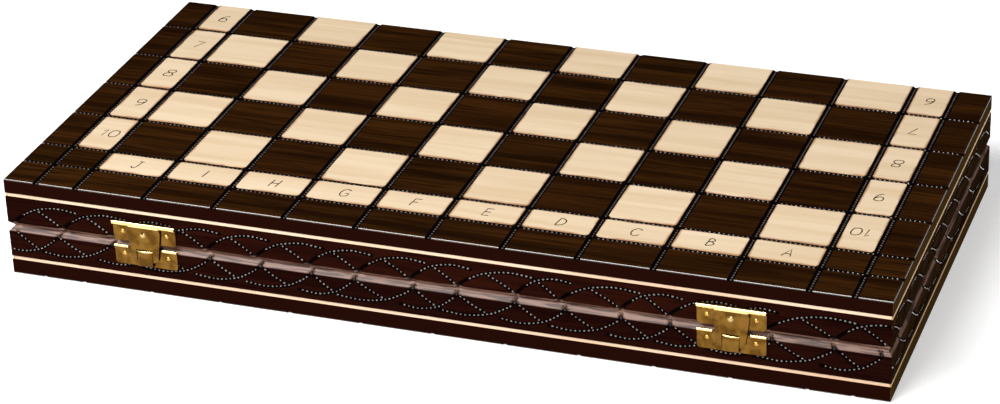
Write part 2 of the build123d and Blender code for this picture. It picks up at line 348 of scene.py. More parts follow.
def lengthways(along, scale, scale_along):
    """The same noise scale on each axis, but for the one that the grain follows."""
    scales = [scale] * 3
    scales["xyz".index(along)] = scale_along
    return scales


def grain(recipe, along, scale=1.0):
    """Wood grain that runs along X, Y or Z, fine streaks over slow bands."""
    long, across = 22 * scale, 620 * scale
    fine = recipe.stretch(lengthways(along, across, long))
    streaks = recipe.noise(fine, 1.0, detail=6, roughness=0.62, distortion=0.15)
    slow = recipe.stretch(lengthways(along, across / 6, long / 4))
    bands = recipe.noise(slow, 1.0, detail=3, roughness=0.5, distortion=0.6)
    return streaks, bands


def pores(recipe, along):
    """Short dark pore lines along the grain."""
    return recipe.noise(recipe.stretch(lengthways(along, 900, 60)), 1.0, detail=2, roughness=0.4)


def stained_wood(name, along, dark=(22, 6, 4), warm=(36, 12, 6)):
    """Dark red-brown rubbed wood. The cut attribute blackens the carving; rim paints the ledge
    lighter, for wear and as painted light from above.
    """
    recipe = Recipe(name, roughness=0.34, specular_ior_level=0.0, coat_roughness=0.3)
    streaks, bands = grain(recipe, along)
    wood = recipe.mix(recipe.ramp(bands, 0.3, 0.7), tone(*dark), tone(*warm))
    wood = recipe.mix(recipe.ramp(streaks, 0.4, 0.8), wood, tone(12, 3, 3))
    # Painted light: the ledge's lighter grey-brown stands partly for wear and partly for light
    # falling on it from above
    wear_and_painted_light = recipe.ramp(pores(recipe, along), 0.42, 0.6)
    worn_and_lit_ledge = recipe.mix(wear_and_painted_light, tone(116, 86, 73), tone(60, 38, 30))
    rim = recipe.attribute("rim")
    wood = recipe.mix(rim, wood, worn_and_lit_ledge)
    recipe.put(recipe.shader.inputs["Coat Weight"], recipe.times(rim, 0.35))
    cut = recipe.attribute("cut")
    recipe.paint(recipe.mix(recipe.ramp(cut, 0.1, 0.7), wood, tone(5, 3, 3)))
    height = recipe.plus(recipe.times(streaks, 0.6), pores(recipe, along))
    recipe.bump(height, 0.25, 0.12 * MM)
    return recipe.material


def board_wood():
    """The board's surface: stained and bare squares between black grooves, found by place."""
    recipe = Recipe("board_wood", roughness=0.3, specular_ior_level=0.0, coat_roughness=0.2,
                    coat_ior=1.9)
    m, plus, minus, times = recipe.math, recipe.plus, recipe.minus, recipe.times
    x, y, z = recipe.split()[:3]
    square, half_field, letter_row = SQUARE / MM, HALF_FIELD / MM, LETTER_ROW / MM
    number_line = (HALF_FIELD + NUMBER_COLUMN) / MM
    half_groove = GROOVE_WIDTH / MM / 2
    # The burn in the grooves along X is narrower than the cut
    narrowing = 0.4

    # Distances in millimetres from the middle line and from the first row line
    across = m("DIVIDE", x, MM)
    side = m("ABSOLUTE", across)
    up = m("DIVIDE", minus(y, FIRST_ROW_Y), MM)

    # Distances to the middle of the nearest groove
    on_field = m("LESS_THAN", side, half_field)
    above = m("GREATER_THAN", up, 0.0)
    off_field_gap = m("MINIMUM", m("ABSOLUTE", minus(side, half_field)),
                      m("ABSOLUTE", minus(side, number_line)))
    column_gap = recipe.choose(on_field, m("PINGPONG", across, square / 2), off_field_gap)
    below_gap = m("MINIMUM", m("ABSOLUTE", up), m("ABSOLUTE", plus(up, letter_row)))
    row_gap = recipe.choose(above, m("PINGPONG", up, square / 2), below_gap)

    # Which cells are light: every second square, the letters and the numbers
    upper = m("GREATER_THAN", z, PARTING_Z)
    column = m("FLOOR", m("DIVIDE", across, square))
    row = m("FLOOR", m("DIVIDE", up, square))
    odd = m("FLOORED_MODULO", plus(column, row, upper), 2.0)
    squares = times(on_field, above, odd)
    letters = times(on_field, minus(1.0, above), m("GREATER_THAN", up, -letter_row))
    numbers = times(minus(1.0, on_field), m("LESS_THAN", side, number_line), above)
    light = plus(squares, letters, numbers)

    # Distance inside a cell whose corners are rounded and whose edges waver a little
    corner = 1.8
    rim = half_groove - 0.05
    waver = times(minus(recipe.noise(recipe.place, 90, detail=3), 0.5), 0.5)

    def into_corner(gap, edge):
        """How far a place has moved from a cell's middle into the rounding of its corner."""
        return m("MAXIMUM", minus(corner, minus(plus(gap, waver), edge)), 0.0)

    dx = into_corner(column_gap, rim)
    dy = into_corner(row_gap, rim - narrowing)
    inside = minus(corner, m("SQRT", plus(times(dx, dx), times(dy, dy))))

    # Depth under the outer face, which blackens the grooves and leaves the panel's edges dark
    depth = m("DIVIDE", recipe.choose(upper, minus(TOP_Z, z), z), MM)
    on_face = m("LESS_THAN", depth, 0.55)
    near_groove = m("MINIMUM", minus(column_gap, half_groove),
                    minus(row_gap, half_groove - narrowing))
    in_groove = times(m("LESS_THAN", depth, GROOVE_DEPTH / MM + 0.2),
                      m("LESS_THAN", near_groove, 0.05))

    # Every cell has its own shade
    cell = recipe.tree.nodes.new("ShaderNodeCombineXYZ")
    recipe.put(cell.inputs[0], column)
    recipe.put(cell.inputs[1], row)
    cell_noise = recipe.tree.nodes.new("ShaderNodeTexWhiteNoise")
    cell_noise.noise_dimensions = "2D"
    recipe.put(cell_noise.inputs["Vector"], cell.outputs[0])
    cell_tone = cell_noise.outputs["Value"]

    # Stained squares
    streaks, bands = grain(recipe, "x")
    dark = recipe.mix(recipe.ramp(bands, 0.3, 0.72), tone(24, 12, 3), tone(60, 34, 10))
    dark = recipe.mix(recipe.ramp(streaks, 0.4, 0.72), dark, tone(20, 9, 3))
    dark = recipe.mix(times(cell_tone, 0.35), dark, tone(32, 12, 5))

    # Bare squares with a scorched rim
    bare = recipe.mix(recipe.ramp(bands, 0.3, 0.75), tone(218, 197, 168), tone(204, 180, 147))
    bare = recipe.mix(times(recipe.ramp(streaks, 0.5, 0.8), 0.35), bare, tone(192, 162, 118))
    bare = recipe.mix(times(cell_tone, 0.3), bare, tone(196, 171, 138))
    patches = recipe.noise(recipe.place, 60, detail=2)
    scorch_width = recipe.ramp(patches, 0.3, 0.7, to_low=0.5, to_high=2.0)
    scorch = minus(1.0, recipe.ramp(inside, 0.0, scorch_width))
    bare = recipe.mix(times(scorch, 0.85), bare, tone(136, 84, 38))
    burnt = minus(1.0, recipe.ramp(inside, 0.0, 0.28))
    bare = recipe.mix(burnt, bare, tone(46, 24, 10))
    show_light = times(light, on_face, m("GREATER_THAN", inside, 0.0))
    colour = recipe.mix(show_light, dark, bare)

    # Panel edges are a redder brown, olive at the ends, with a glossy coat on their rounding
    at_end = m("GREATER_THAN", side, (SIDE_X - END_RECESS) / MM)
    edge = recipe.mix(at_end, tone(25, 7, 4), tone(58, 42, 19))
    colour = recipe.mix(m("GREATER_THAN", depth, 0.9), colour, edge)
    recipe.paint(recipe.mix(in_groove, colour, tone(6, 5, 5)))
    rounding = times(m("GREATER_THAN", depth, 0.03), m("LESS_THAN", depth, 0.75))
    clear = m("GREATER_THAN", m("MINIMUM", column_gap, row_gap), half_groove + 0.15)
    recipe.put(recipe.shader.inputs["Coat Weight"], times(rounding, clear))
    recipe.bump(plus(times(streaks, 0.5), pores(recipe, "x")), 0.2, 0.1 * MM)
    return recipe.material


def light_wood(name, along):
    """Pale close-grained wood, lacquered."""
    recipe = Recipe(name, roughness=0.4, specular_ior_level=0.4, coat_weight=0.2,
                    coat_roughness=0.2)
    streaks, bands = grain(recipe, along, 1.4)
    wood = recipe.mix(recipe.ramp(bands, 0.25, 0.75), tone(240, 210, 182), tone(222, 184, 150))
    wood = recipe.mix(recipe.times(recipe.ramp(streaks, 0.5, 0.8), 0.5), wood,
                      tone(206, 160, 118))
    # Painted shade: the last millimetre at the box's ends is painted a darker golden, for the shade
    # on the end faces
    side = recipe.math("ABSOLUTE", recipe.split()[0])
    at_end = recipe.math("GREATER_THAN", side, SIDE_X - 1 * MM)
    recipe.paint(recipe.mix(at_end, wood, tone(186, 142, 78)))
    recipe.bump(streaks, 0.2, 0.08 * MM)
    return recipe.material


def nail_brass():
    """Plain bright brass of the small domed nail heads and the screws."""
    recipe = Recipe("nail_brass", metallic=1.0, roughness=0.28)
    speckle = recipe.noise(recipe.place, 300)
    recipe.paint(recipe.mix(speckle, tone(222, 178, 92), tone(176, 130, 56)))
    return recipe.material


def brass():
    """Bright rolled sheet brass with faint waves, a few dull patches and a painted highlight on its
    rolled edges.
    """
    recipe = Recipe("brass", metallic=1.0, roughness=0.2)
    patches = recipe.noise(recipe.place, 150, detail=3)
    plate = recipe.mix(recipe.ramp(patches, 0.35, 0.65), tone(124, 90, 38), tone(88, 59, 19))
    # Painted highlight: rolled edges and the hasp's bump are painted a bright brass colour; marked
    # on the made pieces, found by height on the imported ones
    roll_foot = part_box("left_hasp")[1][2] - 1.9 * BARREL_RADIUS
    upper_roll = recipe.math("GREATER_THAN", recipe.split()[2], roll_foot)
    rolled = recipe.math("MAXIMUM", recipe.attribute("rolled"), upper_roll)
    recipe.paint(recipe.mix(rolled, plate, tone(255, 222, 150)))
    waves = recipe.noise(recipe.place, 130, detail=2)
    fine = recipe.noise(recipe.stretch((400, 4000, 4000)), 1.0, detail=2)
    recipe.bump(recipe.plus(waves, recipe.times(fine, 0.1)), 0.12, 0.2 * MM)
    roughness = recipe.ramp(patches, 0.3, 0.7, to_low=0.16, to_high=0.3)
    recipe.put(recipe.shader.inputs["Roughness"], roughness)
    return recipe.material


def lacquer_with_painted_glints():
    """Glossy lacquer on the domes in the tool's dots, painted grey as a painted highlight."""
    recipe = Recipe("lacquer_with_painted_glints", roughness=0.16, specular_ior_level=1.0, coat_weight=1.0,
                    coat_roughness=0.08)
    # Painted highlight: the grey base colour makes the domes read as glints
    speckle = recipe.noise(recipe.place, 500)
    recipe.paint(recipe.mix(speckle, tone(72, 62, 58), tone(112, 100, 94)))
    return recipe.material


def pencil():
    """Thin drawn lines, dark grey-brown."""
    recipe = Recipe("drawn_line", roughness=0.8, specular_ior_level=0.0)
    speckle = recipe.noise(recipe.place, 900)
    recipe.paint(recipe.mix(speckle, tone(22, 15, 10), tone(44, 32, 22)))
    return recipe.material


# Pieces made from a mesh
def new_piece(name, mesh, material, body, slot, *replaced):
    """Turn a bmesh into a piece that rides on a body, smooth but for its real edges."""
    for face in mesh.faces:
        face.smooth = True
    for edge in mesh.edges:
        edge.smooth = edge.calc_face_angle(0.0) < CREASE
    data = bpy.data.meshes.new(name)
    mesh.to_mesh(data)
    mesh.free()
    piece = bpy.data.objects.new(name, data)
    bpy.context.collection.objects.link(piece)
    data.materials.append(material)
    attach(piece, body)
    if replaced:
        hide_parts(*replaced)


def tray(upper):
    """The word for a tray in its pieces' names, and the body that they ride on."""
    return ("upper", "lid") if upper else ("lower", "base")


def only(kind, made):
    """The verts, or the edges, among all that an operator made."""
    return [part for part in made if isinstance(part, kind)]


def join(mesh, part):
    """Add a second bmesh to a first and free it."""
    data = bpy.data.meshes.new("part")
    part.to_mesh(data)
    part.free()
    mesh.from_mesh(data)
    bpy.data.meshes.remove(data)


# The carved walls
def between(before, start, end, after, t):
    """A smooth line's coordinate at a share of the way from start to end."""
    return 0.5 * (2 * start + (end - before) * t
                  + (2 * before - 5 * start + 4 * end - after) * t * t
                  + (3 * start - before - 3 * end + after) * t ** 3)


def curve_points(knots, step):
    """Points at an even step along a smooth line through a few knots."""
    points = []
    for i in range(len(knots) - 1):
        before = knots[max(i - 1, 0)]
        after = knots[min(i + 2, len(knots) - 1)]
        for k in range(LINE_SAMPLES):
            points.append(tuple(between(*coordinate, k / LINE_SAMPLES)
                                for coordinate in zip(before, knots[i], knots[i + 1], after)))
    points.append(knots[-1])
    kept, left = [points[0]], step
    for a, b in zip(points, points[1:]):
        length = math.dist(a, b)
        while length >= left:
            share = left / length
            a = tuple(p + (q - p) * share for p, q in zip(a, b))
            kept.append(a)
            length -= left
            left = step
        left -= length
    return kept


def wave_knots(starts, forward):
    """Both lines of each wave, as distances along the wall and away from the rim, in millimetres.

    A wave leaves the rim, runs flat over the next one and is met by a short steep line. The lower
    tray was carved the same way up as the lid and then turned over, so its waves run backward.
    """
    long_line = [(0, -2.6), (0.08, 1.8), (0.27, 5.8), (0.5, 9.2), (0.9, 11.4), (1.32, 10.3)]
    short_line = [(0.52, 8.6), (0.76, 4.6), (1, -0.2)]
    lines = []
    for here, ahead in zip(starts, starts[1:]):
        start, reach = (here, ahead - here) if forward else (ahead, here - ahead)
        for line in (long_line, short_line):
            lines.append([(start + share * reach, height) for share, height in line])
    return lines


def side_matrix(side, upper):
    """From a wall's own flat frame, along, inward and away from the parting plane, to its place."""
    spots = {
        "front": (Vector((0, FRONT_Y, PARTING_Z)), Vector((1, 0, 0)), Vector((0, 1, 0))),
        "right": (Vector((SIDE_X, MIDDLE_Y, PARTING_Z)), Vector((0, 1, 0)), Vector((-1, 0, 0))),
        "left": (Vector((-SIDE_X, MIDDLE_Y, PARTING_Z)), Vector((0, -1, 0)), Vector((1, 0, 0))),
    }
    origin, along, inward = spots[side]
    away = Vector((0, 0, 1 if upper else -1))
    return Matrix.Translation(origin) @ Matrix((along, inward, away)).transposed().to_4x4()


def carved_wall(side, upper, starts, length, material):
    """Make a wall whose outer face is cut with wave lines that also nick the rim's chamfer.

    The lines come back as points in millimetres.
    """
    half, body = tray(upper)
    lines = [curve_points(knots, LINE_STEP / MM) for knots in wave_knots(starts, upper)]
    cut_points = [Vector((x * MM - length / 2, h * MM, 0)) for line in lines for x, h in line]
    tree = kdtree.KDTree(len(cut_points))
    for i, point in enumerate(cut_points):
        tree.insert(point, i)
    tree.balance()
    face_height = PARTING_Z - PANEL - STRIP - RIM_CHAMFER
    along_steps = int(length / WALL_MESH_STEP)
    face_steps = int(face_height / WALL_MESH_STEP)
    total_steps = face_steps + CHAMFER_STEPS
    # How much of the chamfer's depth counts when it is unfolded, and how the cuts act on it
    unfolded = 0.4
    fade_in = 1.3
    lift = 0.9
    mesh = bmesh.new()
    bmesh.ops.create_grid(mesh, x_segments=along_steps, y_segments=total_steps, size=0.5)
    cut_layer = mesh.verts.layers.float.new("cut")
    rim_layer = mesh.verts.layers.float.new("rim")
    for vert in mesh.verts:
        row = round((vert.co.y + 0.5) * total_steps)
        x = vert.co.x * length
        on_chamfer = row <= CHAMFER_STEPS
        if on_chamfer:
            share = row / CHAMFER_STEPS
            inward = (1 - share) * RIM_CHAMFER
            height = share * RIM_CHAMFER
        else:
            inward = 0.0
            height = RIM_CHAMFER + (row - CHAMFER_STEPS) / face_steps * face_height
        # The carving runs in the flat of the face, with the rim's chamfer unfolded below it
        flat_height = height - RIM_CHAMFER - inward * unfolded
        gap = tree.find(Vector((x, flat_height, 0)))[2]
        cut = max(0.0, 1 - (gap / CARVED_WIDTH) ** 2)
        strength = min(1.0, fade_in * row / CHAMFER_STEPS)
        sink = CARVED_DEPTH * cut * strength
        inward += sink
        if on_chamfer:
            height += sink * lift
        vert[cut_layer] = cut * strength
        vert[rim_layer] = float(row < CHAMFER_STEPS)
        mitre = 1 - 2 * inward / length
        vert.co = Vector((x * mitre, inward, height))
        vert.tag = row in (0, total_steps)
    rims = [e for e in mesh.edges if e.is_boundary and e.verts[0].tag and e.verts[1].tag]
    top_edges = [e for e in rims if e.verts[0].co.z > face_height]
    bottom_edges = [e for e in rims if e.verts[0].co.z <= face_height]

    def pull(edges, inward=None, height=None):
        """Extrude a long edge loop to a new depth or height."""
        made = bmesh.ops.extrude_edge_only(mesh, edges=edges)["geom"]
        for vert in only(bmesh.types.BMVert, made):
            if inward is not None:
                vert.co.x *= (length - 2 * inward) / (length - 2 * vert.co.y)
                vert.co.y = inward
            if height is not None:
                vert.co.z = height
        return only(bmesh.types.BMEdge, made)

    bottom_edges = pull(bottom_edges, inward=WALL)
    top_edges = pull(top_edges, inward=REBATE)
    top_edges = pull(top_edges, height=PARTING_Z - PANEL)
    top_edges = pull(top_edges, inward=WALL)
    bmesh.ops.bridge_loops(mesh, edges=bottom_edges + top_edges)
    bmesh.ops.holes_fill(mesh, edges=[e for e in mesh.edges if e.is_boundary], sides=0)
    bmesh.ops.transform(mesh, matrix=side_matrix(side, upper), verts=mesh.verts)
    bmesh.ops.recalc_face_normals(mesh, faces=mesh.faces)
    new_piece(f"{half}_{side}_carved", mesh, material, body, "stained_wood",
              f"{half}_{side}_wall")
    return lines


def let_in_strips(upper, material):
    """Four mitred light strips in the rebate of one tray, all but flush at its ends."""
    half, body = tray(upper)
    low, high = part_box(f"{half}_light_strips")
    mesh = bmesh.new()
    end = SIDE_X - END_RECESS
    front, back = low[1], high[1]
    outside = [(-end, front), (end, front), (end, back), (-end, back)]
    inside = [(-end + STRIP_DEPTH, front + STRIP_DEPTH), (end - STRIP_DEPTH, front + STRIP_DEPTH),
              (end - STRIP_DEPTH, back - STRIP_DEPTH), (-end + STRIP_DEPTH, back - STRIP_DEPTH)]
    for k in range(4):
        n = (k + 1) % 4
        corners = [outside[k], outside[n], inside[n], inside[k]]
        foot = mesh.faces.new([mesh.verts.new((x, y, low[2])) for x, y in corners])
        made = bmesh.ops.extrude_face_region(mesh, geom=[foot])["geom"]
        bmesh.ops.translate(mesh, vec=(0, 0, high[2] - low[2]),
                            verts=only(bmesh.types.BMVert, made))
    bmesh.ops.recalc_face_normals(mesh, faces=mesh.faces)
    new_piece(f"{half}_strips_let_in", mesh, material, body, "light_wood",
              f"{half}_light_strips")


# Dots
def add_dots(mesh, matrices):
    """Add a row of small domes, left between the marks of a toothed wheel."""
    row = bmesh.new()
    for matrix in matrices:
        size = hand.uniform(*DOT_SIZES)
        bmesh.ops.create_icosphere(row, subdivisions=1, radius=size, matrix=matrix)
    join(mesh, row)


def wall_dots(side, upper, lines, length, material):
    """Rows of dots along the wave lines of a wall."""
    half, body = tray(upper)
    mesh = bmesh.new()
    to_place = side_matrix(side, upper)
    middle = length / 2
    step = round(WALL_DOT_PITCH / LINE_STEP)
    size = Matrix.Diagonal((*WALL_DOT, 1))
    for i, line in enumerate(lines):
        # The long waves were pressed lightly near the rim, more so on the lid
        lowest = 0.6 if i % 2 else 4.5 if upper else 2.0
        row = []
        for k in range(step // 2, len(line) - 1, step):
            x, h = line[k]
            if h < lowest or abs(x * MM - middle) > middle - WALL_DOT_MARGIN:
                continue
            ahead = line[k + 1]
            angle = math.atan2(ahead[1] - h, ahead[0] - x)
            spot = Matrix.Translation((x * MM - middle, WALL_DOT_DEPTH, h * MM + RIM_CHAMFER))
            turn = Matrix.Rotation(-angle, 4, "Y")
            row.append(to_place @ spot @ turn @ size)
        add_dots(mesh, row)
    new_piece(f"{half}_{side}_dots", mesh, material, body, "stained_wood")


def board_dots(upper, material):
    """Rows of dots in the grooves of a board panel."""
    half, body = tray(upper)
    mesh = bmesh.new()
    floor = TOP_Z - GROOVE_DEPTH if upper else GROOVE_DEPTH
    outer_line = HALF_FIELD + NUMBER_COLUMN
    columns = [SQUARE * i for i in range(-5, 6)] + [-outer_line, outer_line]
    rows = [FRONT_Y + FRONT_BORDER] + [FIRST_ROW_Y + SQUARE * i for i in range(WHOLE_ROWS + 1)]
    along_row = Matrix.Diagonal((0.7 * MM, 0.55 * MM, 0.7 * MM, 1))
    along_column = Matrix.Diagonal((0.6 * MM, 0.75 * MM, 0.35 * MM, 1))
    # The wheel ran a little behind the middle of the grooves along X
    behind = 0.35 * MM

    def places(low, high):
        """Even places from one side of the board to the other."""
        count = int((high - low) / GROOVE_DOT_PITCH)
        return [low + (k + 0.5) * GROOVE_DOT_PITCH for k in range(count)]

    for y in rows:
        add_dots(mesh, [Matrix.Translation((x, y + behind, floor)) @ along_row
                        for x in places(-SIDE_X, SIDE_X)
                        if min(abs(x - c) for c in columns) > CROSSING_CLEARANCE])
    for x in columns:
        add_dots(mesh, [Matrix.Translation((x, y, floor)) @ along_column
                        for y in places(FRONT_Y, BACK_Y)
                        if min(abs(y - r) for r in rows) > CROSSING_CLEARANCE])
    new_piece(f"{half}_board_dots", mesh, material, body, "board_wood")


# Catches
def rod(mesh, start, end, radius):
    """Add a round bar between two points and mark it as a rolled edge, which takes the painted
    highlight.
    """
    rolled = mesh.verts.layers.float.get("rolled") or mesh.verts.layers.float.new("rolled")
    start, end = Vector(start), Vector(end)
    along = end - start
    turn = along.to_track_quat("Z", "Y").to_matrix().to_4x4()
    made = bmesh.ops.create_cone(mesh, cap_ends=True, segments=ROD_SEGMENTS, radius1=radius,
                                 radius2=radius, depth=along.length,
                                 matrix=Matrix.Translation((start + end) / 2) @ turn)
    for vert in made["verts"]:
        vert[rolled] = 1.0


def hasp_half_width(drop, length):
    """Half the width of the hasp at a drop below its pin, its foot rounded."""
    if drop < HASP_SHOULDER_DROP:
        share = drop / HASP_SHOULDER_DROP
        width = HASP_KNUCKLE + (HASP_SHOULDER - HASP_KNUCKLE) * share
    else:
        share = (drop - HASP_SHOULDER_DROP) / (length - HASP_SHOULDER_DROP)
        width = HASP_SHOULDER + (HASP_FOOT - HASP_SHOULDER) * share
    half = width / 2
    past = HASP_FOOT_RADIUS - (length - drop)
    if past > 0:
        half -= HASP_FOOT_RADIUS - math.sqrt(max(0.0, HASP_FOOT_RADIUS ** 2 - past ** 2))
    return half


def pressed_hasp(name, material):
    """A rolled knuckle and a bowed tongue with a pressed bump, forked at its foot."""
    low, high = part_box(f"{name}_hasp")
    centre = (low[0] + high[0]) / 2
    barrel_y, barrel_z = high[1] - BARREL_RADIUS, high[2] - BARREL_RADIUS
    front = barrel_y - BARREL_RADIUS
    length = barrel_z - low[2]
    half_slot = FORK_SLOT / 2
    # Columns over the fork's slot and on either side of it
    inner, outer, rows = 30, 8, 64
    columns = inner + 2 * outer
    mesh = bmesh.new()
    bmesh.ops.create_grid(mesh, x_segments=columns, y_segments=rows, size=0.5)
    wear_and_painted_light = mesh.verts.layers.float.new("rolled")
    for vert in mesh.verts:
        column = round((vert.co.x + 0.5) * columns) - outer
        drop = (0.5 - vert.co.y) * length
        half = hasp_half_width(drop, length)
        if 0 <= column <= inner:
            x = FORK_SLOT * (column / inner - 0.5)
        else:
            share = -column / outer if column < 0 else (column - inner) / outer
            x = math.copysign(half_slot + share * (half - half_slot), column)
        edge = max(0.0, abs(x) - half + HASP_EDGE_WIDTH) / HASP_EDGE_WIDTH
        bow = HASP_BOW * math.sin(math.pi * min(1.0, drop / length)) * (1 - (x / half) ** 2)
        off_bump = math.hypot(x, drop - BUMP_DROP) / BUMP_RADIUS
        bump = BUMP_HEIGHT * math.cos(math.pi / 2 * off_bump) if off_bump < 1 else 0.0
        # Painted highlight: the bump's crest is painted bright like the rolled edges
        vert[wear_and_painted_light] = 0.6 * bump / BUMP_HEIGHT
        y = front - bow - bump + HASP_EDGE_TURN * edge ** 2
        vert.co = Vector((centre + x, y, barrel_z - drop))
    in_slot = []
    for face in mesh.faces:
        middle = face.calc_center_median()
        if abs(middle.x - centre) < half_slot and middle.z < NOSE_TOP_Z + FORK_CLEARANCE:
            in_slot.append(face)
    bmesh.ops.delete(mesh, geom=in_slot, context="FACES")
    bmesh.ops.recalc_face_normals(mesh, faces=mesh.faces)
    if sum(face.normal.y for face in mesh.faces) > 0:
        bmesh.ops.reverse_faces(mesh, faces=mesh.faces)
    bmesh.ops.solidify(mesh, geom=mesh.faces[:], thickness=SHEET)
    half = HASP_KNUCKLE / 2
    rod(mesh, (centre - half, barrel_y, barrel_z), (centre + half, barrel_y, barrel_z),
        BARREL_RADIUS)
    new_piece(f"{name}_hasp_pressed", mesh, material, f"{name}_hasp", "brass", f"{name}_hasp")


def bent_nose(mesh, centre, foot_z, proud):
    """Add a strip bent forward and up, bowed outward, its top edge thickened by the bend."""
    rise = NOSE_TOP_Z - foot_z
    upright = proud - SHEET / 2
    path = [(0.0, 0.0)]
    for k in range(CORNER_SEGMENTS + 1):
        angle = math.radians(90 * k / CORNER_SEGMENTS)
        path.append((upright - NOSE_BEND + NOSE_BEND * math.sin(angle),
                     NOSE_BEND - NOSE_BEND * math.cos(angle)))
    path += [(upright, rise * 0.6), (upright, rise - NOSE_EDGE_RADIUS)]
    steps = len(path) - 1
    strip = bmesh.new()
    bmesh.ops.create_grid(strip, x_segments=NOSE_COLUMNS, y_segments=steps, size=0.5)
    for vert in strip.verts:
        across = 2 * vert.co.x
        out, up = path[round((vert.co.y + 0.5) * steps)]
        bow = NOSE_BOW * across ** 2 * min(1.0, out / proud) * min(1.0, up / rise + 0.2)
        height = SHEET / 2 + up * (rise - SHEET / 2) / rise
        vert.co = Vector((centre + across * NOSE_WIDTH / 2, FRONT_Y - out + bow, foot_z + height))
    bmesh.ops.recalc_face_normals(strip, faces=strip.faces)
    bmesh.ops.solidify(strip, geom=strip.faces[:], thickness=NOSE_SHEET)
    join(mesh, strip)
    edge = []
    for k in range(NOSE_COLUMNS + 1):
        across = 2 * k / NOSE_COLUMNS - 1
        sunk = NOSE_EDGE_SUNK + NOSE_BOW * across ** 2
        edge.append((centre + across * NOSE_WIDTH / 2, FRONT_Y - proud + sunk,
                     NOSE_TOP_Z - NOSE_EDGE_RADIUS))
    for start, end in zip(edge, edge[1:]):
        rod(mesh, start, end, NOSE_EDGE_RADIUS)


def bent_plate(name, material):
    """The lower plate: flat, with two curled lips along its top and a nose in front of it."""
    low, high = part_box(f"{name}_catch_lower_plate")
    centre = (low[0] + high[0]) / 2
    half = (high[0] - low[0]) / 2
    lip_z = high[2] - LIP_RADIUS
    mesh = bmesh.new()
    middle = Vector((centre, FRONT_Y - SHEET / 2, (low[2] + lip_z) / 2))
    size = Matrix.Diagonal((2 * half, SHEET, lip_z - low[2], 1))
    bmesh.ops.create_cube(mesh, size=1, matrix=Matrix.Translation(middle) @ size)
    lower_corners = [e for e in mesh.edges if all(v.co.z < middle.z for v in e.verts)
                     and abs(e.verts[0].co.x - e.verts[1].co.x) < half]
    bmesh.ops.bevel(mesh, geom=lower_corners, offset=PLATE_CORNER, segments=CORNER_SEGMENTS,
                    profile=0.5, affect="EDGES", material=-1)
    for sign in (-1, 1):
        rod(mesh, (centre + sign * LIP_HALF_GAP, FRONT_Y - LIP_RADIUS, lip_z),
            (centre + sign * half, FRONT_Y - LIP_RADIUS, lip_z), LIP_RADIUS)
    bent_nose(mesh, centre, low[2], FRONT_Y - low[1])
    bmesh.ops.recalc_face_normals(mesh, faces=mesh.faces)
    new_piece(f"{name}_catch_lower_bent", mesh, material, "base", "brass",
              f"{name}_catch_lower_plate")


# Drawn letters and numbers: strokes on a unit-high body, smooth ones through bent runs
STROKES = {
    "A": [("line", (0, 0), (0.4, 1), (0.62, 0)), ("line", (0.14, 0.34), (0.54, 0.34))],
    "B": [("line", (0.06, 0), (0.12, 1)),
          ("smooth", (0.12, 1), (0.62, 1.02), (0.6, 0.54), (0.1, 0.54)),
          ("smooth", (0.1, 0.54), (0.76, 0.56), (0.7, 0), (0.06, 0))],
    "C": [("smooth", (0.66, 0.8), (0.56, 1.04), (0.02, 1.1), (0, -0.1), (0.52, -0.04),
           (0.66, 0.18))],
    "D": [("line", (0.06, 0), (0.12, 1)),
          ("smooth", (0.12, 1), (0.84, 1.04), (0.8, -0.04), (0.06, 0))],
    "E": [("line", (0.58, 1), (0.12, 1), (0.06, 0), (0.54, 0)),
          ("line", (0.09, 0.52), (0.5, 0.52))],
    "F": [("line", (0.58, 1), (0.12, 1), (0.06, 0)), ("line", (0.09, 0.52), (0.46, 0.52))],
    "G": [("smooth", (0.66, 0.82), (0.56, 1.04), (0.02, 1.1), (0, -0.1), (0.52, -0.06),
           (0.66, 0.14)),
          ("line", (0.66, 0.12), (0.67, 0.44), (0.4, 0.44))],
    "H": [("line", (0.06, 0), (0.12, 1)), ("line", (0.6, 0), (0.66, 1)),
          ("line", (0.09, 0.5), (0.63, 0.5))],
    "I": [("line", (0.3, 0), (0.36, 1))],
    "J": [("smooth", (0.46, 1), (0.44, 0.4), (0.4, -0.12), (0.06, -0.06), (0.06, 0.2)),
          ("line", (0.26, 1), (0.62, 1))],
    "0": [("smooth", (0.36, 1), (-0.06, 1), (-0.02, -0.02), (0.34, -0.02), (0.72, 0), (0.7, 1),
           (0.36, 1))],
    "1": [("line", (0.18, 0.74), (0.42, 1), (0.38, 0))],
    "2": [("smooth", (0.04, 0.78), (0.1, 1.06), (0.66, 1.08), (0.58, 0.5), (0.04, 0)),
          ("line", (0.04, 0), (0.62, 0))],
    "3": [("smooth", (0.06, 0.86), (0.2, 1.08), (0.68, 1), (0.52, 0.54), (0.26, 0.54)),
          ("smooth", (0.26, 0.54), (0.72, 0.54), (0.66, -0.08), (0.14, -0.06), (0.02, 0.16))],
    "4": [("line", (0.46, 0), (0.5, 1), (0.02, 0.3), (0.66, 0.3))],
    "5": [("line", (0.6, 1), (0.16, 1), (0.1, 0.56)),
          ("smooth", (0.1, 0.56), (0.7, 0.76), (0.68, -0.06), (0.18, -0.06), (0.02, 0.12))],
    "6": [("smooth", (0.54, 0.98), (0.12, 0.9), (-0.04, 0.1), (0.1, -0.06), (0.6, -0.06),
           (0.62, 0.56), (0.16, 0.58), (0.05, 0.3))],
    "7": [("line", (0.04, 1), (0.62, 1), (0.2, 0))],
    "8": [("smooth", (0.34, 0.54), (0, 0.62), (0.06, 1.04), (0.34, 1.02), (0.66, 1.02),
           (0.64, 0.62), (0.34, 0.54), (-0.06, 0.44), (-0.02, -0.06), (0.32, -0.02),
           (0.7, -0.02), (0.7, 0.42), (0.34, 0.54))],
    "9": [("smooth", (0.62, 0.72), (0.5, 0.42), (0.02, 0.36), (0.02, 1.02), (0.34, 1.04),
           (0.66, 1.04), (0.68, 0.5), (0.46, 0.02), (0.2, 0))],
}


